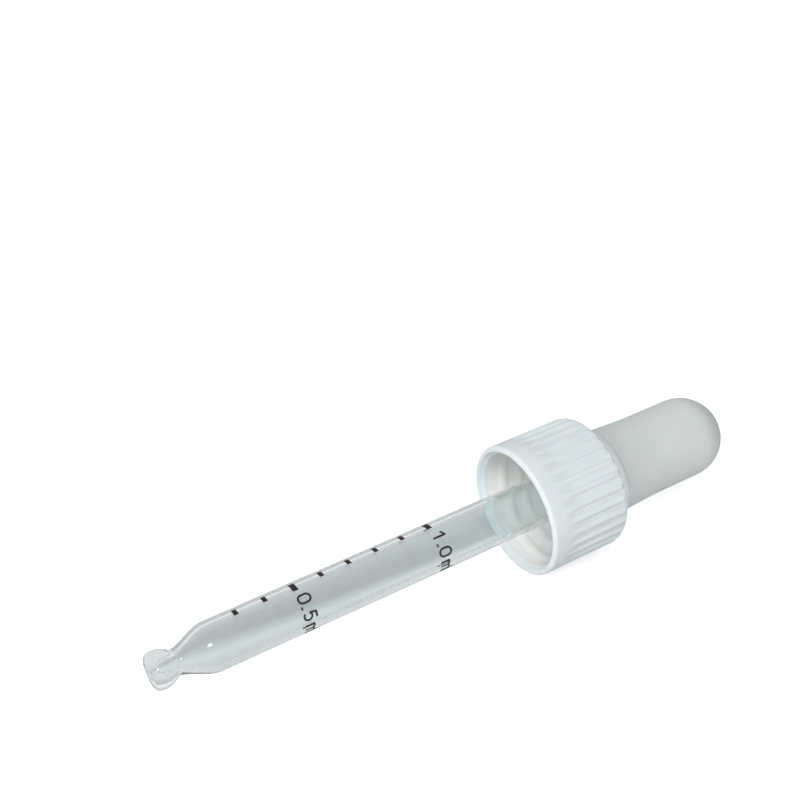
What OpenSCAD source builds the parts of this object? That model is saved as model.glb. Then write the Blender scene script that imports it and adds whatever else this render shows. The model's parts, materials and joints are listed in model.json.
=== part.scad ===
// Glass dropper pipette: a graduated glass tube with a flame-formed ball tip,
// a ribbed screw cap, and a rubber teat that passes through the cap.
//
// Each piece is turned about the Z axis, with the plane of the cap's mouth at
// Z = 0, the tube below it and the teat above. The whole pipette is then laid
// down as it rests on a table, on the lip of the cap's mouth and on the tube.
// The origin is on the table, under the middle of its length, and +X points
// from the tip to the teat. All sizes are in millimetres.

/* [Glass tube] */
// Outside diameter of the tube
tube_d = 7.2; // [6.4:0.1:8]
// Thickness of the tube's wall
tube_wall = 0.9; // [0.6:0.05:1.2]
// Length of the tube from the cap's mouth to the face of the tip
tube_reach = 58.3; // [35:0.1:120]
// Length of the tube's upper end that the teat grips
grip_l = 7; // [5:0.1:9]
// Radius of the melted rim at the tube's upper end
tube_rim_r = 0.35; // [0.1:0.05:0.5]

/* [Tip] */
// Diameter of the ball at the tip
ball_d = 5.46; // [4.6:0.02:6]
// Distance from the flat face to the middle of the ball
face_l = 1.3; // [1:0.05:2]
// Radius on the edge of the flat face
face_edge_r = 0.4; // [0.2:0.05:0.6]
// Outside diameter of the neck behind the ball
neck_d = 3.5; // [3:0.1:4]
// Distance from the flat face to where the neck starts to widen
neck_l = 3; // [2.6:0.1:8]
// Length over which the neck widens to the full tube
shoulder_l = 6; // [4:0.1:12]
// Diameter of the bore through the neck
neck_bore = 1.7; // [1.2:0.1:2.2]
// Diameter of the outlet in the flat face
outlet_d = 0.8; // [0.4:0.1:1.1]
// Length of the narrow outlet channel
outlet_l = 1; // [0.6:0.1:1.4]
// Length over which the outlet channel opens into the neck's bore
outlet_taper = 1; // [0.6:0.1:1.2]

/* [Screw cap] */
// Height of the cap, from its mouth to its closed end
cap_h = 13.6; // [11:0.1:18]
// Diameter of the bore at the root of its thread
cap_bore = 17.8; // [15:0.1:24]
// Thickness of the skirt, from the bore to the crests of the ribs
skirt_t = 1.3; // [1:0.05:2]
// Thickness of the closed end
cap_top = 1.2; // [0.8:0.1:2.5]
// Radius on the outer edge of the mouth
lip_r = 0.6; // [0.2:0.05:0.6]
// Width of the flat face round the mouth
lip_face = 0.1; // [0.05:0.05:0.3]
// Depth of the cone that leads a bottle's neck into the bore
lead_in_l = 0.9; // [0.4:0.1:1.5]
// Radius with which the ribs roll over onto the closed end
end_r = 1; // [0.3:0.05:1.2]
// Diameter of the hole that the teat passes through
hole_d = 11.6; // [10:0.1:12.2]
// Diameter of the collar that stands round the hole on the closed end
collar_d = 15.4; // [14.6:0.1:17]
// Height of the collar above the closed end
collar_h = 2.5; // [1:0.1:4]
// Radius on the collar's outer edge
collar_edge_r = 0.9; // [0.3:0.05:1]

/* [Ribs] */
// Number of ribs round the cap
rib_count = 32; // [20:1:36]
// Height of the plain band between the mouth and the ribs
band_h = 2.6; // [1:0.1:4]
// Width of a rib across its crest
rib_crest = 0.65; // [0.3:0.05:0.8]
// Width of a groove across its floor
groove_floor = 0.7; // [0.3:0.05:0.8]
// Depth of the grooves between the ribs
groove_depth = 0.35; // [0.15:0.05:0.5]

/* [Rubber teat] */
// Diameter of the bulb
teat_d = 12.65; // [11:0.05:14]
// Length of the bulb above the cap's collar
teat_l = 22.4; // [18:0.1:40]
// Thickness of the bulb's wall
teat_wall = 1.3; // [0.9:0.05:1.8]
// Diameter of the bulb's base, where it sits on the collar
base_d = 13.2; // [12.4:0.1:15]
// Length over which the base narrows to the bulb
base_l = 8.5; // [5:0.1:11]
// Thickness of the flange that seals on the bottle
flange_t = 1.5; // [1:0.1:2.5]
// Clearance between the flange and the cap's bore
flange_gap = 0.5; // [0.3:0.1:1]
// Length of the neck's bore beyond the tube's end
neck_spare = 0.4; // [0.2:0.1:1.5]

/* [Placing] */
// Angle by which the pipette has rolled about its own axis as it lies
roll = 1.8; // [-180:0.1:180]

/* [Hidden] */
$fn = 96;

// Steps in which a curved taper and a rounded edge are drawn
taper_steps = 24;
edge_steps = 6;
ball_steps = 18;
// How far a cutting shape runs past what it cuts
over = 1;

tube_r = tube_d / 2;
bore_r = tube_r - tube_wall;
neck_r = neck_d / 2;
ball_r = ball_d / 2;
cap_bore_r = cap_bore / 2;
cap_r = cap_bore_r + skirt_t;
collar_r = collar_d / 2;
hole_r = hole_d / 2;
teat_r = teat_d / 2;
chamber_r = teat_r - teat_wall;

// Heights above the mouth of the cap
tip_z = -tube_reach;
ball_z = tip_z + face_l;
shoulder_z = tip_z + neck_l;
ceiling_z = cap_h - cap_top;
flange_z = ceiling_z - flange_t;
tube_top_z = flange_z + grip_l;
chamber_z = tube_top_z + neck_spare;
collar_z = cap_h + collar_h;
dome_z = collar_z + teat_l - teat_r;

// The middle of the rounded edge of the tip's flat face, out from the axis
face_edge_x = sqrt(pow(ball_r - face_edge_r, 2) - pow(face_l - face_edge_r, 2));

// Lying down, the pipette leans on the lip of the mouth, and on the ball or on
// the shoulder, whichever meets the table first
shoulder = taper(neck_r, shoulder_z, tube_r, shoulder_z + shoulder_l);
rest_tilt = min(concat(
    [touch_tilt(0, ball_z, ball_r)],
    [for (p = shoulder) touch_tilt(p[0], p[1], 0)]
));
rest_height = (cap_r - lip_r) * cos(rest_tilt) + lip_r * (1 - sin(rest_tilt));
low_x = (tip_z + face_edge_r) * cos(rest_tilt) - face_edge_x * sin(rest_tilt)
    - face_edge_r;
high_x = dome_z * cos(rest_tilt) + teat_r;

// Tilt at which the lip and a circle of radius r, x out from the axis at the
// height z, stand on one table
function touch_tilt(x, z, r) =
    let (a = lip_r - z, b = cap_r - lip_r - x)
        atan2(b, a) + asin((lip_r - r) / norm([a, b]));

// Points of an arc about [x, y], from one angle to another
function arc(x, y, r, from, to, steps = edge_steps) = [
    for (i = [0:steps])
        let (a = from + (to - from) * i / steps)
            [x + r * cos(a), y + r * sin(a)]
];

// Points of a smooth change of radius: flat at both ends, steepest midway
function taper(r0, z0, r1, z1) = [
    for (i = [0:taper_steps])
        let (t = i / taper_steps)
            [r0 + (r1 - r0) * t * t * (3 - 2 * t), z0 + (z1 - z0) * t]
];

// The bore of the tube: outlet channel, neck and full bore
module tube_bore() {
    opening_z = tip_z + outlet_l;
    rotate_extrude()
        polygon(concat(
            [[0, tip_z - over], [outlet_d / 2, tip_z - over]],
            taper(outlet_d / 2, opening_z, neck_bore / 2, opening_z + outlet_taper),
            taper(neck_bore / 2, shoulder_z, bore_r, shoulder_z + shoulder_l),
            [[bore_r, tube_top_z + over], [0, tube_top_z + over]]
        ));
}

// The ball that the glass draws itself into in the flame, pressed flat in front
module ball() {
    edge_angle = -atan2(face_l - face_edge_r, face_edge_x);
    rotate_extrude()
        polygon(concat(
            [[0, tip_z]],
            arc(face_edge_x, tip_z + face_edge_r, face_edge_r, -90, edge_angle),
            arc(0, ball_z, ball_r, edge_angle, 90, ball_steps)
        ));
}

// The outside of the tube from inside the ball to its melted upper rim
module tube_outside() {
    rim_r = min(tube_rim_r, tube_wall / 2);
    rotate_extrude()
        polygon(concat(
            [[0, ball_z], [neck_r, ball_z]],
            shoulder,
            arc(tube_r - rim_r, tube_top_z - rim_r, rim_r, 0, 90),
            arc(bore_r + rim_r, tube_top_z - rim_r, rim_r, 90, 180),
            [[0, tube_top_z - rim_r]]
        ));
}

module glass_tube() {
    color([0.83, 0.9, 0.89, 0.5])
        laid_down()
            difference() {
                union() {
                    tube_outside();
                    ball();
                }
                tube_bore();
            }
}

// The cap turned without its grooves: skirt, closed end, collar and hole
module cap_turned() {
    rotate_extrude()
        polygon(concat(
            [[cap_bore_r, lead_in_l], [cap_r - lip_r - lip_face, 0]],
            arc(cap_r - lip_r, lip_r, lip_r, 270, 360),
            arc(cap_r - end_r, cap_h - end_r, end_r, 0, 90),
            [[collar_r, cap_h]],
            arc(collar_r - collar_edge_r, collar_z - collar_edge_r, collar_edge_r, 0, 90),
            [[hole_r, collar_z], [hole_r, ceiling_z], [cap_bore_r, ceiling_z]]
        ));
}

// The grooves that leave the ribs standing, open towards the closed end
module rib_grooves() {
    pitch = 360 / rib_count;
    floor_r = cap_r - groove_depth;
    mouth_w = 2 * PI * cap_r / rib_count - rib_crest;
    // The sides keep their slope past the crest
    side = (mouth_w - groove_floor) / 2 / groove_depth;
    wide = groove_floor / 2 + side * (groove_depth + over);
    translate([0, 0, band_h])
        linear_extrude(height = cap_h)
            for (i = [0:rib_count - 1])
                rotate((i + 0.5) * pitch)
                    polygon([
                        [floor_r, -groove_floor / 2],
                        [cap_r + over, -wide],
                        [cap_r + over, wide],
                        [floor_r, groove_floor / 2]
                    ]);
}

module screw_cap() {
    color([0.93, 0.94, 0.95])
        laid_down()
            difference() {
                cap_turned();
                rib_grooves();
            }
}

// The teat's outside, from its flange to where the round end starts
module teat_outside() {
    flange_r = cap_bore_r - flange_gap;
    rotate_extrude()
        polygon(concat(
            [[0, flange_z], [flange_r, flange_z], [flange_r, ceiling_z]],
            [[hole_r, ceiling_z], [hole_r, collar_z]],
            taper(base_d / 2, collar_z, teat_r, collar_z + base_l),
            [[teat_r, dome_z], [0, dome_z]]
        ));
}

// The hollow of the teat: the neck that grips the tube, and the air chamber
module teat_hollow() {
    rotate_extrude()
        polygon([
            [0, flange_z - over],
            [tube_r, flange_z - over],
            [tube_r, chamber_z],
            [chamber_r, chamber_z + chamber_r - tube_r],
            [chamber_r, dome_z],
            [0, dome_z]
        ]);
}

module rubber_teat() {
    color([0.87, 0.88, 0.86])
        laid_down()
            difference() {
                union() {
                    teat_outside();
                    translate([0, 0, dome_z]) sphere(r = teat_r);
                }
                union() {
                    teat_hollow();
                    translate([0, 0, dome_z]) sphere(r = chamber_r);
                }
            }
}

// Lays the upright pipette on the table
module laid_down() {
    translate([-(low_x + high_x) / 2, 0, rest_height])
        rotate([0, 90 - rest_tilt, 0])
            rotate(roll)
                children();
}

glass_tube();
screw_cap();
rubber_teat();
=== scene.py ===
"""The looks of a glass dropper pipette with its ribbed screw cap and rubber teat.

The pipette is a body of turning that lies on a table. Its pieces are worked out in
its own terms: how far along the axis from the mouth of the cap, in millimetres
(minus towards the tip, plus towards the teat), how far out from the axis, and the
angle round it (0 upwards, growing towards the near side, the way the figures read).
"""
import json
import math

import bmesh
import bpy
import numpy as np
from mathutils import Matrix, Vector


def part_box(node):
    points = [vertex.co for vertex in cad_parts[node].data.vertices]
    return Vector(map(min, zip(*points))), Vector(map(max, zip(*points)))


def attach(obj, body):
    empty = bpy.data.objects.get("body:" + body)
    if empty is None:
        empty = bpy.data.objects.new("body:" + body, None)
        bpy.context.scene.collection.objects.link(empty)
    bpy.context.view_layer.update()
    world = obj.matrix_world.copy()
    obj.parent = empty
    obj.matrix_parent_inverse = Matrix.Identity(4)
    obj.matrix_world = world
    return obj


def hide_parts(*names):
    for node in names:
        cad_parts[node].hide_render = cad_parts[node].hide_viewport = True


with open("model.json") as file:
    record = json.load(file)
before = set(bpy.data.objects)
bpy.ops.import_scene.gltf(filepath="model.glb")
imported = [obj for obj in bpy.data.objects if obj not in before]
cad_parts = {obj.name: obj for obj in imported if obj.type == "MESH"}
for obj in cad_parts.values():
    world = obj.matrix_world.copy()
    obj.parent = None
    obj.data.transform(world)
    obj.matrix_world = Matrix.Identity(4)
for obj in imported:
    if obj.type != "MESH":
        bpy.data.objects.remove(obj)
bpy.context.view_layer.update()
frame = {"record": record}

MM = 0.001

# ---------------------------------------------------------------- the frame
MOUNTS = {mount["name"]: mount for mount in frame["record"]["mounts"]}
MOUTH = np.array(MOUNTS["bottle_thread"]["pos_m"]) / MM
ALONG = -np.array(MOUNTS["bottle_thread"]["axis"])
ALONG /= np.linalg.norm(ALONG)
NEAR = np.array([0.0, -1.0, 0.0])
UPWARD = np.cross(NEAR, ALONG)
LYING_TILT = math.asin(ALONG[2])


def half_width(node):
    """Half of a node's size across the pipette, in millimetres."""
    low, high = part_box(node)
    return (high.y - low.y) / 2 / MM


# ---------------------------------------------------------------- sizes, in mm
TUBE_R = half_width("glass_tube")
BORE_R = TUBE_R - 0.9
TIP = -58.3
BALL_R = 2.73
BALL_AT = TIP + 1.3
FACE_EDGE_R = 0.8
NECK_R = 1.75
NECK_BORE_R = 0.85
OUTLET_R = 0.4
SHOULDER_FROM = TIP + 2.9
SHOULDER_TO = TIP + 9.1
TUBE_TOP = 17.9

CAP_R = half_width("screw_cap")
THREAD_ROOT_R = 8.9
THREAD_CREST_R = 8.75
THREAD_START = 2.2
THREAD_TURNS = 2.2
THREAD_PITCH = 3.0
LIP_R = 0.6
LEAD_IN = 0.9
CAP_TOP = 13.6
CEILING = 12.4
COLLAR_R = 7.7
COLLAR_TOP = 16.1
HOLE_R = 5.8
RIBS = 32
BAND_TOP = 2.6
GROOVE_DEPTH = 0.35
GROOVE_FADE = 2.6
ROLLED = math.radians(1.8)

TEAT_BASE_R = 6.6
TEAT_R = 6.325
TEAT_WALL = 1.3
DOME_AT = 32.175
FLANGE_R = half_width("rubber_teat")
FLANGE_AT = 10.9


# ---------------------------------------------------------------- curves
def line(start, end, steps):
    """Points on the straight line from start to end, evenly spaced."""
    t = np.linspace(0, 1, steps + 1)[:, None]
    return np.array(start) * (1 - t) + np.array(end) * t


def arc(centre, radius, start, end, steps):
    """Points on a circle's arc: centre plus radius times (cosine, sine) of an angle
    that goes evenly from start to end, in degrees."""
    angle = np.radians(np.linspace(start, end, steps + 1))
    turn = np.stack([np.cos(angle), np.sin(angle)], axis=1)
    return np.array(centre) + radius * turn


def ease(t):
    """The smooth step 3t^2 - 2t^3, flat at 0 and at 1."""
    t = np.clip(t, 0, 1)
    return t * t * (3 - 2 * t)


def taper(start, end, steps):
    """Points whose second value goes evenly from start to end while the first goes
    by the smooth step, so that the curve leaves and arrives along the axis."""
    t = np.linspace(0, 1, steps + 1)
    out = start[0] + (end[0] - start[0]) * ease(t)
    along = start[1] + (end[1] - start[1]) * t
    return np.stack([out, along], axis=1)


def joined(*stretches):
    """One run of points from several, each point that repeats the last one left out."""
    points = np.concatenate(stretches)
    apart = np.linalg.norm(np.diff(points, axis=0), axis=1) > 1e-6
    return points[np.concatenate([[True], apart])]


# ---------------------------------------------------------------- surfaces
def placed(out, angle, along):
    """Where a point of the lying pipette is, in metres: the mouth's centre, plus its
    way along the axis, plus its way out, turned from upwards towards the near side."""
    out, angle, along = np.broadcast_arrays(out, angle, along)
    across = np.cos(angle)[..., None] * UPWARD + np.sin(angle)[..., None] * NEAR
    return (MOUTH + along[..., None] * ALONG + out[..., None] * across) * MM


def solid_from_grid(name, points, close_rows):
    """A mesh over a grid of points. Its columns always close round on themselves, and
    its rows do too where close_rows says so. Rows that are all one point become poles.
    The faces are turned outwards if the volume they enclose comes out negative."""
    rows, columns = points.shape[:2]
    here = np.arange(rows if close_rows else rows - 1)[:, None]
    side = np.arange(columns)[None, :]
    above = (here + 1) % rows
    beside = (side + 1) % columns
    quads = np.stack(
        [
            here * columns + side,
            here * columns + beside,
            above * columns + beside,
            above * columns + side,
        ],
        axis=-1,
    ).reshape(-1, 4)
    flat = points.reshape(-1, 3)
    corner = flat[quads]
    spread = np.cross(corner[:, 2] - corner[:, 0], corner[:, 3] - corner[:, 1])
    if np.einsum("ij,ij->", corner.mean(axis=1), spread) < 0:
        quads = quads[:, ::-1]
    return mesh_piece(name, flat, quads)


def mesh_piece(name, points, faces):
    """An object with that mesh, its repeated points merged and its faces smooth."""
    mesh = bpy.data.meshes.new(name)
    mesh.from_pydata(points.tolist(), [], faces.tolist())
    mesh.validate()
    piece = bpy.data.objects.new(name, mesh)
    bpy.context.scene.collection.objects.link(piece)
    merge_points(mesh)
    mesh.polygons.foreach_set("use_smooth", np.ones(len(mesh.polygons), bool))
    mesh.update()
    return piece


def merge_points(mesh):
    """Merges the points that lie on each other, at poles and seams."""
    work = bmesh.new()
    work.from_mesh(mesh)
    bmesh.ops.remove_doubles(work, verts=work.verts, dist=1e-8)
    work.to_mesh(mesh)
    work.free()


def own_place(piece):
    """How far along the axis and how far out each point of a piece is, in mm."""
    flat = np.empty(len(piece.data.vertices) * 3, np.float32)
    piece.data.vertices.foreach_get("co", flat)
    offset = flat.reshape(-1, 3) / MM - MOUTH
    along = offset @ ALONG
    out = np.linalg.norm(offset - along[:, None] * ALONG, axis=1)
    return along, out


def write_attribute(piece, name, values):
    """Keeps a number for each point of a piece, for its material to read."""
    store = piece.data.attributes.new(name, "FLOAT", "POINT")
    store.data.foreach_set("value", values.astype(np.float32))


def turned(name, profile, columns, close_rows):
    """A body of turning: the profile of (out, along) points, carried round the axis."""
    angle = np.linspace(0, 2 * math.pi, columns, endpoint=False)
    grid = placed(profile[:, 0][:, None], angle[None, :], profile[:, 1][:, None])
    return solid_from_grid(name, grid, close_rows)


def finish_piece(piece, material, slot, *nodes):
    """Gives a piece its material, the body it rides on and what it replaces. Its slot is
    not used.
    """
    piece.data.materials.clear()
    piece.data.materials.append(material)
    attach(piece, "root")
    if nodes:
        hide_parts(*nodes)


# ---------------------------------------------------------------- glass tube
def flame_ripples(angle, along):
    """How far the surface swells where the ball was melted onto the neck: two crossed
    waves, kept to a short stretch by a bell curve, and none in the straight tube."""
    here = np.exp(-(((along - BALL_AT - 2.3) / 0.7) ** 2))
    waves = np.sin(9.5 * along + 2 * np.sin(angle)) * np.sin(3 * angle + 2.1 * along)
    return 0.02 * here * waves


def blown_outline(along):
    """How far out the glass reaches from the ball's widest place to the shoulder's
    end. The ball is a circle and the shoulder goes by the smooth step; where the two
    meet they are blended by h^2 k / 4, with h falling from 1 to 0 as they part by k."""
    ball = np.sqrt(np.maximum(BALL_R**2 - (along - BALL_AT) ** 2, 0))
    rise = ease((along - SHOULDER_FROM) / (SHOULDER_TO - SHOULDER_FROM))
    shoulder = NECK_R + (TUBE_R - NECK_R) * rise
    blend = 0.7
    near = np.maximum(1 - np.abs(ball - shoulder) / blend, 0)
    return np.maximum(ball, shoulder) + near**2 * blend / 4


def glass_tube():
    """The tube's section carried round the axis: from the outlet over the flat face,
    the ball, the neck and the shoulder to the melted rim, and back down the bore."""
    edge = FACE_EDGE_R
    face_out = math.sqrt((BALL_R - edge) ** 2 - (BALL_AT - TIP - edge) ** 2)
    edge_end = math.degrees(math.atan2(TIP + edge - BALL_AT, face_out))
    blown_at = np.linspace(BALL_AT, SHOULDER_TO, 170)
    rim = (TUBE_R - BORE_R) / 2
    outside = joined(
        arc((OUTLET_R + 0.12, TIP + 0.12), 0.12, 180, 270, 8),
        line((OUTLET_R + 0.12, TIP), (face_out, TIP), 8)[1:-1],
        arc((face_out, TIP + edge), edge, 270, 360 + edge_end, 16),
        arc((0, BALL_AT), BALL_R, edge_end, 0, 24),
        np.stack([blown_outline(blown_at), blown_at], axis=1)[1:],
        line((TUBE_R, SHOULDER_TO), (TUBE_R, TUBE_TOP - rim), 60),
        arc((BORE_R + rim, TUBE_TOP - rim), rim, 0, 180, 16),
    )
    inside = joined(
        line((BORE_R, TUBE_TOP - rim), (BORE_R, SHOULDER_TO), 60),
        taper((BORE_R, SHOULDER_TO), (NECK_BORE_R, SHOULDER_FROM), 90),
        line((NECK_BORE_R, SHOULDER_FROM), (NECK_BORE_R, TIP + 2), 4),
        taper((NECK_BORE_R, TIP + 2), (OUTLET_R, TIP + 1), 24),
        line((OUTLET_R, TIP + 1), (OUTLET_R, TIP + 0.12), 8),
    )
    profile = joined(outside, inside)[:-1]
    angle = np.linspace(0, 2 * math.pi, 192, endpoint=False)[None, :]
    out, along = profile[:, 0][:, None], profile[:, 1][:, None]
    skin = (np.arange(len(profile)) < len(outside))[:, None]
    out = out + np.where(skin, 1, 0.5) * flame_ripples(angle, along)
    return solid_from_grid("tube", placed(out, angle, along), True)


# ---------------------------------------------------------------- print
INK_PROUD = 0.02
INK_BED = 0.002
FIRST_MARK = -45.23
MARK_STEP = 4.38
LONG_MARKS = (2, 7)
FIGURE_HEIGHT = 2.0
STROKE = 0.31
DOT = 0.46


def glyph_strokes():
    """The centre lines of the printed characters, in a box 1 high, with x to the right:
    each is a list of runs of points."""
    return {
        "0": [np.concatenate([arc((0.3, 0.66), 0.29, 0, 180, 14),
                              arc((0.3, 0.34), 0.29, 180, 360, 14),
                              [[0.59, 0.66]]])],
        "1": [np.array([[-0.06, 0.74], [0.28, 0.97], [0.28, 0.0]])],
        "5": [np.concatenate([[[0.55, 0.95], [0.12, 0.95], [0.06, 0.5]],
                              arc((0.28, 0.33), 0.29, 125, -140, 20)])],
        "m": [np.array([[0.05, 0.0], [0.05, 0.72]]),
              np.concatenate([[[0.05, 0.5]], arc((0.25, 0.48), 0.2, 150, 0, 10),
                              [[0.45, 0.0]]]),
              np.concatenate([[[0.45, 0.45]], arc((0.65, 0.48), 0.2, 150, 0, 10),
                              [[0.85, 0.0]]])],
        "l": [np.array([[0.05, 0.0], [0.05, 1.0]])],
        ".": [np.array([[0.08, 0.0], [0.08, 0.14]])],
    }


def ribbon(path, width):
    """A flat ribbon round the centre line: each point moved half the width to either
    side, at right angles to the line."""
    way = np.gradient(path, axis=0)
    way /= np.linalg.norm(way, axis=1, keepdims=True) + 1e-12
    side = np.stack([-way[:, 1], way[:, 0]], axis=1)
    across = np.linspace(-0.5, 0.5, 5)[None, :, None] * width
    return path[:, None, :] + side[:, None, :] * across


def densed(path, step):
    """The same line with points every step along it."""
    pieces = np.linalg.norm(np.diff(path, axis=0), axis=1)
    length = np.concatenate([[0], np.cumsum(pieces)])
    at = np.linspace(0, length[-1], max(2, int(length[-1] / step) + 1))
    return np.stack([np.interp(at, length, path[:, i]) for i in (0, 1)], axis=1)


def ink_layer(patch):
    """The points and faces of a thin closed layer of ink on the tube. The patch holds
    (way round, way along) in millimetres; its top stands proud of the glass and its
    underside lies just in it."""
    rows, columns = patch.shape[:2]
    top = placed(TUBE_R + INK_PROUD, patch[..., 0] / TUBE_R, patch[..., 1])
    base = placed(TUBE_R + INK_BED, patch[..., 0] / TUBE_R, patch[..., 1])
    points = np.concatenate([top.reshape(-1, 3), base.reshape(-1, 3)])
    index = np.arange(rows * columns).reshape(rows, columns)
    cells = np.stack(
        [index[:-1, :-1], index[1:, :-1], index[1:, 1:], index[:-1, 1:]], axis=-1
    ).reshape(-1, 4)
    rim = np.concatenate(
        [index[0, :-1], index[:-1, -1], index[-1, :0:-1], index[:0:-1, 0]]
    )
    after = np.roll(rim, -1)
    under = rows * columns
    walls = np.stack([rim, after, after + under, rim + under], axis=1)
    return points, np.concatenate([cells, cells[:, ::-1] + under, walls])


def scale_marks():
    """The printed volume scale: a mark each 0.1 ml, longer ones and figures at 0.5 and
    1.0 ml."""
    patches = []
    for number in range(8):
        along = FIRST_MARK + number * MARK_STEP
        thick = 0.85 if number in LONG_MARKS else 0.68
        start, end = {2: (-14, 14), 7: (-21, 5)}.get(number, (-11 - number, 9 - number))
        span = np.radians([start, end]) * TUBE_R
        round_way = np.linspace(span[0], span[1], 12)
        along_way = along + np.linspace(-0.5, 0.5, 4) * thick
        patches.append(np.stack(np.meshgrid(round_way, along_way, indexing="ij"), -1))
    strokes = glyph_strokes()
    for text, base, places in (
        ("0.5ml", -37.05, (29.5, 55.9, 69.5, 100.5, 128.9)),
        ("1.0ml", -15.15, (25.5, 49.9, 62.5, 93.5, 121.9)),
    ):
        for letter, place in zip(text, places):
            for path in strokes[letter]:
                line_mm = densed(path * FIGURE_HEIGHT, 0.08)
                line_mm = line_mm + [math.radians(place) * TUBE_R, base]
                patches.append(ribbon(line_mm, DOT if letter == "." else STROKE))
    points, faces, offset = [], [], 0
    for patch in patches:
        patch_points, patch_faces = ink_layer(patch)
        points.append(patch_points)
        faces.append(patch_faces + offset)
        offset += len(patch_points)
    return mesh_piece("volume_marks", np.concatenate(points), np.concatenate(faces))


# ---------------------------------------------------------------- cap
def cap_section():
    """The cap's section as (out, along) points, with a part number at each: 1 on the
    outside, where the grooves are cut, 2 on the inside wall, and 0 elsewhere."""
    roll = 1.0
    edge = 0.9
    outer = joined(
        arc((CAP_R - LIP_R, LIP_R), LIP_R, 270, 360, 14),
        line((CAP_R, LIP_R), (CAP_R, BAND_TOP - 0.1), 4),
        line((CAP_R, BAND_TOP - 0.1), (CAP_R, BAND_TOP + 2.5), 24),
        line((CAP_R, BAND_TOP + 2.5), (CAP_R, CAP_TOP - roll), 8),
        arc((CAP_R - roll, CAP_TOP - roll), roll, 0, 90, 16),
    )
    closed_end = joined(
        line((CAP_R - roll, CAP_TOP), (COLLAR_R + 0.2, CAP_TOP), 4),
        line((COLLAR_R - 0.35, CAP_TOP), (COLLAR_R - 0.35, CAP_TOP + 1.1), 8),
        arc((COLLAR_R - 0.2, CAP_TOP + 1.3), 0.2, 270, 360, 6),
        arc((COLLAR_R - edge, COLLAR_TOP - edge), edge, 0, 90, 14),
        line((COLLAR_R - edge, COLLAR_TOP), (HOLE_R, COLLAR_TOP), 3),
        line((HOLE_R, COLLAR_TOP), (HOLE_R, CEILING), 4),
        line((HOLE_R, CEILING), (THREAD_ROOT_R, CEILING), 6),
    )
    inner = joined(
        line((THREAD_ROOT_R, CEILING), (THREAD_ROOT_R, LEAD_IN), 78),
        line((THREAD_ROOT_R, LEAD_IN), (CAP_R - LIP_R - 0.1, 0), 6),
    )
    section = np.concatenate([outer, closed_end[1:], inner[1:]])
    part = np.zeros(len(section), int)
    part[: len(outer)] = 1
    part[len(outer) + len(closed_end) - 1:] = 2
    return section, part


def groove_shape(angle):
    """How deep the groove is at each angle, from 0 on a crest to 1 on the floor: a
    trapezium with eased corners, the same in each of the ribs' pitches."""
    pitch = 2 * math.pi / RIBS
    place = np.abs((angle - ROLLED) / pitch - np.round((angle - ROLLED) / pitch)) * 2
    return ease((place - 0.22) / 0.33)


def thread_height(angle, along):
    """How far the thread stands in from its root: a ridge that winds once each 3 mm,
    right-handed, fading in at its start and out at its end. Its side towards the mouth
    is a long slope, and the other a short one."""
    wound = along - THREAD_START - THREAD_PITCH * angle / (2 * math.pi)
    turn = np.round(wound / THREAD_PITCH)
    off = wound - turn * THREAD_PITCH
    rise = ease((off + 1.4) / 1.3) * ease((1.0 - off) / 0.9)
    progress = turn + angle / (2 * math.pi)
    fade = ease(progress / 0.12) * ease((THREAD_TURNS - progress) / 0.12)
    return (THREAD_ROOT_R - THREAD_CREST_R) * rise * fade


def screw_cap():
    """The cap's section carried round the axis, its skirt cut back by the grooves'
    shape and its inside wall brought in by the thread's."""
    section, part = cap_section()
    angle = np.linspace(0, 2 * math.pi, RIBS * 14, endpoint=False)[None, :]
    out, along = section[:, 0][:, None], section[:, 1][:, None]
    start = np.clip((along - BAND_TOP + 0.05) / GROOVE_FADE, 0, 1)
    floor_r = CAP_R - GROOVE_DEPTH * groove_shape(angle) * start
    ribbed = np.minimum(out, floor_r)
    threaded = out - thread_height(angle, along)
    part = part[:, None]
    out = np.where(part == 1, ribbed, np.where(part == 2, threaded, out))
    cap = solid_from_grid("cap", placed(out, angle, along), True)
    along, out = own_place(cap)
    # The inner mask marks the inside wall, where the material paints a lighter, warmer
    # colour: painted light that stands for what comes through the thin wall.
    inner = ease((9.15 - out) / 0.1) * ease((along - 0.2) / 1.4)
    inner = inner * ease((CEILING + 0.3 - along) / 0.2)
    write_attribute(cap, "inner", inner)
    return cap


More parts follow.
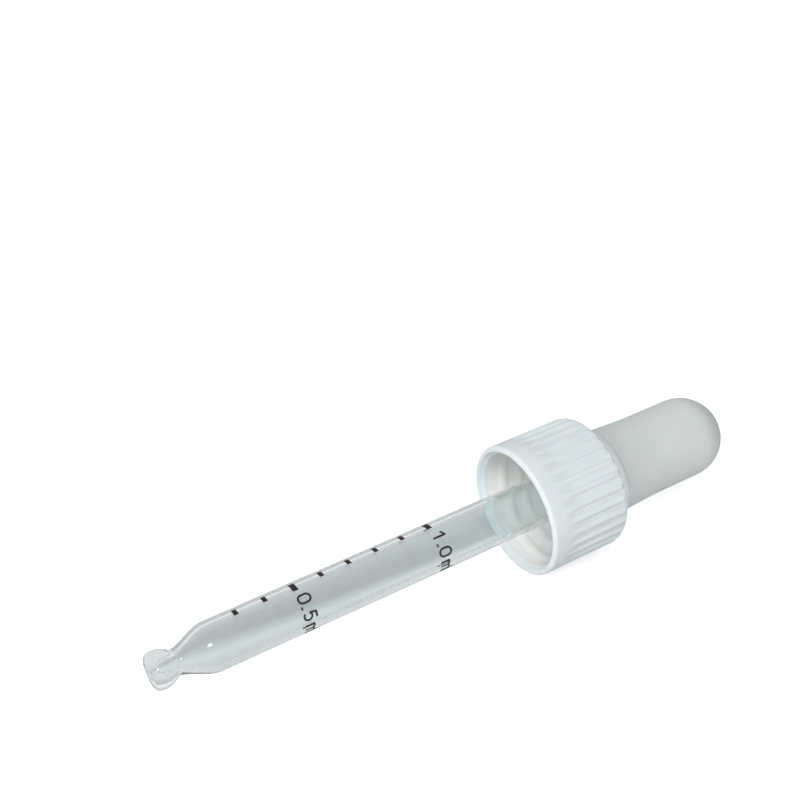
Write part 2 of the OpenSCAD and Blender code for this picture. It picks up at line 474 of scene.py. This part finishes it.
# ---------------------------------------------------------------- teat
def rubber_teat():
    """The teat's section carried round the axis: its neck's bore and chamber, then the
    flange, the groove in the cap's hole, the flared base, the bulb and the dome."""
    chamber_r = TEAT_R - TEAT_WALL
    chamber_at = TUBE_TOP + 0.4
    neck_bore = TUBE_R + 0.01
    inside = joined(
        arc((0, DOME_AT), chamber_r, 90, 0, 32),
        line((chamber_r, DOME_AT), (chamber_r, chamber_at + 1.4), 16),
        line((chamber_r, chamber_at + 1.4), (neck_bore, chamber_at), 4),
        line((neck_bore, chamber_at), (neck_bore, FLANGE_AT), 8),
    )
    outside = joined(
        line((neck_bore, FLANGE_AT), (FLANGE_R, FLANGE_AT), 8),
        line((FLANGE_R, FLANGE_AT), (FLANGE_R, CEILING), 4),
        line((FLANGE_R, CEILING), (HOLE_R, CEILING), 6),
        line((HOLE_R, CEILING), (HOLE_R, COLLAR_TOP), 4),
        line((HOLE_R, COLLAR_TOP), (TEAT_BASE_R - 0.5, COLLAR_TOP), 4),
        line((TEAT_BASE_R - 0.5, COLLAR_TOP), (TEAT_BASE_R - 0.35, COLLAR_TOP + 0.4), 4),
        arc((TEAT_BASE_R - 0.3, COLLAR_TOP + 0.7), 0.3, 270, 360, 8),
        taper((TEAT_BASE_R, COLLAR_TOP + 0.7), (TEAT_R, COLLAR_TOP + 8.5), 40),
        line((TEAT_R, COLLAR_TOP + 8.5), (TEAT_R, DOME_AT), 12),
        arc((0, DOME_AT), TEAT_R, 0, 90, 48),
    )
    profile = joined(inside, outside)
    profile[[0, -1], 0] = 0
    return turned("teat", profile, 160, False)


# ---------------------------------------------------------------- materials
def new_material(name):
    """A node material with its shader and its output, and nothing else."""
    material = bpy.data.materials.new(name)
    material.use_nodes = True
    nodes = material.node_tree.nodes
    nodes.clear()
    output = nodes.new("ShaderNodeOutputMaterial")
    shader = nodes.new("ShaderNodeBsdfPrincipled")
    material.node_tree.links.new(shader.outputs["BSDF"], output.inputs["Surface"])
    return material, shader


def add_node(owner, kind, **settings):
    """A new node for a material, the world or a lamp, with these settings: its input
    sockets, or else its own attributes."""
    node = owner.node_tree.nodes.new(kind)
    for key, value in settings.items():
        if key in node.inputs:
            node.inputs[key].default_value = value
        else:
            setattr(node, key, value)
    return node


def link(owner, source, target):
    """Joins one node's output to another's input."""
    owner.node_tree.links.new(source, target)


def math_of(owner, operation, *values):
    """A Math node's result over these values: numbers, or other nodes' outputs."""
    node = add_node(owner, "ShaderNodeMath", operation=operation)
    for socket, value in zip(node.inputs, values):
        if isinstance(value, float):
            socket.default_value = value
        else:
            link(owner, value, socket)
    return node.outputs[0]


def noise(material, scale, detail, vector=None):
    """A noise over the object's own coordinates, or over those given."""
    node = add_node(material, "ShaderNodeTexNoise", Scale=scale, Detail=detail)
    if vector is None:
        vector = add_node(material, "ShaderNodeTexCoord").outputs["Object"]
    link(material, vector, node.inputs["Vector"])
    return node.outputs["Fac"]


def uneven_tone(material, height, darker, lighter, spread=(0.0, 1.0)):
    """A colour that goes from darker to lighter as the height goes over its spread."""
    tone = add_node(material, "ShaderNodeValToRGB")
    for element, at, colour in zip(tone.color_ramp.elements, spread, (darker, lighter)):
        element.position = at
        element.color = (*colour, 1)
    link(material, height, tone.inputs["Fac"])
    return tone.outputs["Color"]


def along_the_axis(material, stretch):
    """Object coordinates turned so that X runs along the pipette, stretched there."""
    place = add_node(material, "ShaderNodeTexCoord")
    turn = add_node(material, "ShaderNodeMapping")
    turn.vector_type = "TEXTURE"
    turn.inputs["Rotation"].default_value = (0, -LYING_TILT, 0)
    turn.inputs["Scale"].default_value = (stretch, 1, 1)
    link(material, place.outputs["Object"], turn.inputs["Vector"])
    return turn.outputs["Vector"]


def bump_from(material, shader, height, strength, distance):
    """Feeds a height to the shader's normal, through a bump of that distance in mm."""
    bump = add_node(material, "ShaderNodeBump", Strength=strength, Distance=distance * MM)
    link(material, height, bump.inputs["Height"])
    link(material, bump.outputs["Normal"], shader.inputs["Normal"])


def clear_glass():
    """Drawn glass: clear and cool, with faint lines along the way it was drawn. It
    lets the lamps' light through to what is behind it, and lets out straight on what
    has met glass more than four times."""
    material, shader = new_material("clear_glass")
    shader.inputs["Base Color"].default_value = (0.88, 0.93, 0.935, 1)
    shader.inputs["Roughness"].default_value = 0.0
    shader.inputs["IOR"].default_value = 1.5
    shader.inputs["Transmission Weight"].default_value = 1.0
    draw_lines = noise(material, 1400.0, 1.0, along_the_axis(material, 60.0))
    bump_from(material, shader, draw_lines, 0.05, 0.01)
    path = add_node(material, "ShaderNodeLightPath")
    trapped = math_of(material, "GREATER_THAN", path.outputs["Ray Depth"], 4.5)
    passing = math_of(material, "MAXIMUM", path.outputs["Is Shadow Ray"], trapped)
    straight_on = add_node(
        material, "ShaderNodeBsdfTransparent", Color=(0.95, 0.955, 0.955, 1)
    )
    either = add_node(material, "ShaderNodeMixShader")
    link(material, passing, either.inputs["Fac"])
    link(material, shader.outputs["BSDF"], either.inputs[1])
    link(material, straight_on.outputs["BSDF"], either.inputs[2])
    output = next(n for n in material.node_tree.nodes if n.type == "OUTPUT_MATERIAL")
    link(material, either.outputs["Shader"], output.inputs["Surface"])
    return material


def marking_ink():
    """Fired ceramic ink: dark brown-grey, slightly uneven in tone."""
    material, shader = new_material("marking_ink")
    grain = noise(material, 4000.0, 3.0)
    tone = uneven_tone(material, grain, (0.012, 0.01, 0.008), (0.045, 0.036, 0.028))
    link(material, tone, shader.inputs["Base Color"])
    shader.inputs["Roughness"].default_value = 0.55
    return material


def cap_plastic():
    """White moulded plastic: cool white, with a dull sheen. Its inside has a lighter
    and warmer tone, which stands for the light that comes through the thin wall."""
    material, shader = new_material("cap_plastic")
    tone = uneven_tone(
        material, noise(material, 220.0, 3.0),
        (0.735, 0.805, 0.825), (0.765, 0.835, 0.85), (0.3, 0.7),
    )
    # The inside wall's lighter, warmer colour is painted light, for the light that comes
    # through the thin wall.
    inner = add_node(material, "ShaderNodeAttribute", attribute_name="inner")
    colour = add_node(material, "ShaderNodeMix", data_type="RGBA")
    link(material, inner.outputs["Fac"], colour.inputs["Factor"])
    link(material, tone, colour.inputs[6])
    colour.inputs[7].default_value = (0.975, 0.985, 0.96, 1)
    link(material, colour.outputs[2], shader.inputs["Base Color"])
    shader.inputs["Roughness"].default_value = 0.38
    shader.inputs["IOR"].default_value = 1.49
    shader.inputs["Subsurface Weight"].default_value = 0.15
    shader.inputs["Subsurface Radius"].default_value = (1.0, 1.0, 0.95)
    shader.inputs["Subsurface Scale"].default_value = 1.2 * MM
    bump_from(material, shader, noise(material, 5000.0, 2.0), 0.25, 0.01)
    return material


def teat_rubber():
    """Off-white rubber: dull, greyish, with a fine powdery grain."""
    material, shader = new_material("teat_rubber")
    tone = uneven_tone(
        material, noise(material, 160.0, 4.0),
        (0.655, 0.70, 0.685), (0.685, 0.73, 0.715), (0.3, 0.7),
    )
    link(material, tone, shader.inputs["Base Color"])
    shader.inputs["Roughness"].default_value = 0.62
    shader.inputs["Subsurface Weight"].default_value = 0.2
    shader.inputs["Subsurface Radius"].default_value = (1.0, 0.9, 0.75)
    shader.inputs["Subsurface Scale"].default_value = 1.2 * MM
    bump_from(material, shader, noise(material, 3500.0, 3.0), 0.35, 0.015)
    return material


# ---------------------------------------------------------------- room
FLOOR_R = 0.5
FLOOR_SIDES = 96
ROOM_LIGHT = 0.28
# How bright the floor glows through glass, at each share of the way from 5 mm in
# front of the pipette's axis to 45 mm behind it: painted light under the tube, painted
# shade behind it, and painted light further back.
FLOOR_GLOWS = (
    (0.0, 0.1), (0.15, 0.32), (0.24, 0.0), (0.32, 0.02), (0.6, 0.13), (1.0, 0.13)
)


def paper_floor():
    """A round sheet of white paper. Where the camera sees it, it glows a little, so
    that it is white to its edge and still keeps the pipette's shadow. Through the glass
    it shows painted light and shade: a bright line under the tube, which stands for the
    light that the tube gathers there, a dim strip behind that line, which stands for the
    tube's shadow, and paper made lighter further back by painted glow."""
    angle = np.linspace(0, 2 * math.pi, FLOOR_SIDES, endpoint=False)
    rim = np.stack([np.cos(angle), np.sin(angle), 0 * angle], axis=1) * FLOOR_R
    floor = mesh_piece("floor", rim, np.arange(FLOOR_SIDES)[None, :])
    material, shader = new_material("white_paper")
    shader.inputs["Base Color"].default_value = (0.75, 0.75, 0.75, 1)
    shader.inputs["Roughness"].default_value = 0.9
    shader.inputs["Specular IOR Level"].default_value = 0.0
    shader.inputs["Emission Color"].default_value = (1, 1, 1, 1)
    path = add_node(material, "ShaderNodeLightPath")
    place = add_node(material, "ShaderNodeTexCoord")
    parts = add_node(material, "ShaderNodeSeparateXYZ")
    link(material, place.outputs["Object"], parts.inputs["Vector"])
    behind = add_node(material, "ShaderNodeMapRange")
    behind.inputs["From Min"].default_value = -5 * MM
    behind.inputs["From Max"].default_value = 45 * MM
    link(material, parts.outputs["Y"], behind.inputs["Value"])
    # This ramp paints light and shade on the paper seen through the glass: a bright line
    # under the tube for the light it gathers, a dim strip for its shadow, and lighter paper
    # further back.
    painted_glow = add_node(material, "ShaderNodeValToRGB")
    stops = painted_glow.color_ramp.elements
    for at, level in FLOOR_GLOWS:
        stop = stops.new(at) if 0 < at < 1 else stops[0 if at == 0 else -1]
        stop.color = (level, level, level, 1)
    link(material, behind.outputs["Result"], painted_glow.inputs["Fac"])
    through = math_of(
        material, "MULTIPLY", painted_glow.outputs["Color"], path.outputs["Is Transmission Ray"]
    )
    glow = math_of(material, "MULTIPLY_ADD", path.outputs["Is Camera Ray"], 0.6, through)
    link(material, glow, shader.inputs["Emission Strength"])
    floor.data.materials.append(material)


def white_room():
    """The world: an even soft light, white where the camera sees it. In a gloss or
    through the glass it is white low down and a little darker higher up, and darker
    again for what bounces about inside the glass. What has met two dull surfaces gets
    a little more light than what has met one."""
    world = bpy.data.worlds.new("white_room")
    bpy.context.scene.world = world
    world.use_nodes = True
    background = world.node_tree.nodes["Background"]
    background.inputs["Color"].default_value = (1, 1, 1, 1)
    path = add_node(world, "ShaderNodeLightPath")
    way = add_node(world, "ShaderNodeTexCoord")
    parts = add_node(world, "ShaderNodeSeparateXYZ")
    link(world, way.outputs["Generated"], parts.inputs["Vector"])
    height = add_node(world, "ShaderNodeMapRange")
    height.inputs["From Min"].default_value = 0.12
    height.inputs["From Max"].default_value = 0.3
    height.inputs["To Min"].default_value = 1.0
    height.inputs["To Max"].default_value = 0.66
    link(world, parts.outputs["Z"], height.inputs["Value"])
    sky = height.outputs["Result"]
    deep = math_of(world, "GREATER_THAN", path.outputs["Ray Depth"], 1.5)
    dimmed = math_of(world, "MULTIPLY_ADD", deep, -0.4, sky)
    twice = math_of(world, "GREATER_THAN", path.outputs["Diffuse Depth"], 1.5)
    strength = None
    for ray, seen in (
        (path.outputs["Is Glossy Ray"], dimmed),
        (path.outputs["Is Transmission Ray"], sky),
        (path.outputs["Is Camera Ray"], 1.0),
        (path.outputs["Diffuse Depth"], ROOM_LIGHT),
        (twice, 0.45),
    ):
        step = add_node(world, "ShaderNodeMix", A=ROOM_LIGHT)
        if isinstance(seen, float):
            step.inputs["B"].default_value = seen
        else:
            link(world, seen, step.inputs["B"])
        link(world, ray, step.inputs["Factor"])
        if strength:
            link(world, strength, step.inputs["A"])
        strength = step.outputs["Result"]
    link(world, strength, background.inputs["Strength"])


def soft_lamp(name, direction, distance, size, power, shines=False):
    """An area lamp that faces the pipette from a direction, at a distance in metres.
    It isn't seen through the glass, and it shows as a highlight only if it shines, and
    only in the first surface that a ray meets."""
    data = bpy.data.lights.new(name, "AREA")
    data.shape = "DISK"
    data.size = size
    data.energy = power
    lamp = bpy.data.objects.new(name, data)
    bpy.context.scene.collection.objects.link(lamp)
    lamp.visible_transmission = False
    lamp.visible_glossy = shines
    if shines:
        data.use_nodes = True
        path = add_node(data, "ShaderNodeLightPath")
        early = math_of(data, "LESS_THAN", path.outputs["Ray Depth"], 2.5)
        link(data, early, data.node_tree.nodes["Emission"].inputs["Strength"])
    way = Vector(direction).normalized()
    lamp.location = way * distance
    lamp.rotation_euler = (-way).to_track_quat("-Z", "Y").to_euler()


def camera():
    """A camera that looks down on the pipette from beyond its tip."""
    heading = math.radians(31.0825)
    looking_down = math.radians(24.4164)
    data = bpy.data.cameras.new("camera")
    data.lens = 60.75
    data.sensor_width = 36.0
    data.clip_start = 0.01
    data.clip_end = 20.0
    view = bpy.data.objects.new("camera", data)
    bpy.context.scene.collection.objects.link(view)
    view.location = np.array([-94.952, -141.374, 107.764]) * MM
    view.rotation_euler = (math.pi / 2 - looking_down, 0, -heading)
    bpy.context.scene.camera = view


def build():
    """The pieces of the pipette, and then the floor, the world, the lamps and the
    camera. The glint stands a little in front of the key, which would hide it."""
    finish_piece(glass_tube(), clear_glass(), "glass", "glass_tube")
    finish_piece(scale_marks(), marking_ink(), "print_ink")
    finish_piece(screw_cap(), cap_plastic(), "cap_plastic", "screw_cap")
    finish_piece(rubber_teat(), teat_rubber(), "teat_rubber", "rubber_teat")
    paper_floor()
    white_room()
    soft_lamp("key", (-0.39, -0.67, 0.63), 0.8, 0.3, 1.45)
    soft_lamp("glint", (-0.39, -0.67, 0.63), 0.76, 0.19, 0.95, shines=True)
    soft_lamp("front", (-0.88, -0.24, 0.44), 0.8, 0.5, 3.1)
    soft_lamp("back", (0.1, 0.8, 0.7), 0.9, 0.6, 1.7)
    camera()
    bpy.context.scene.view_settings.view_transform = "Standard"


build()
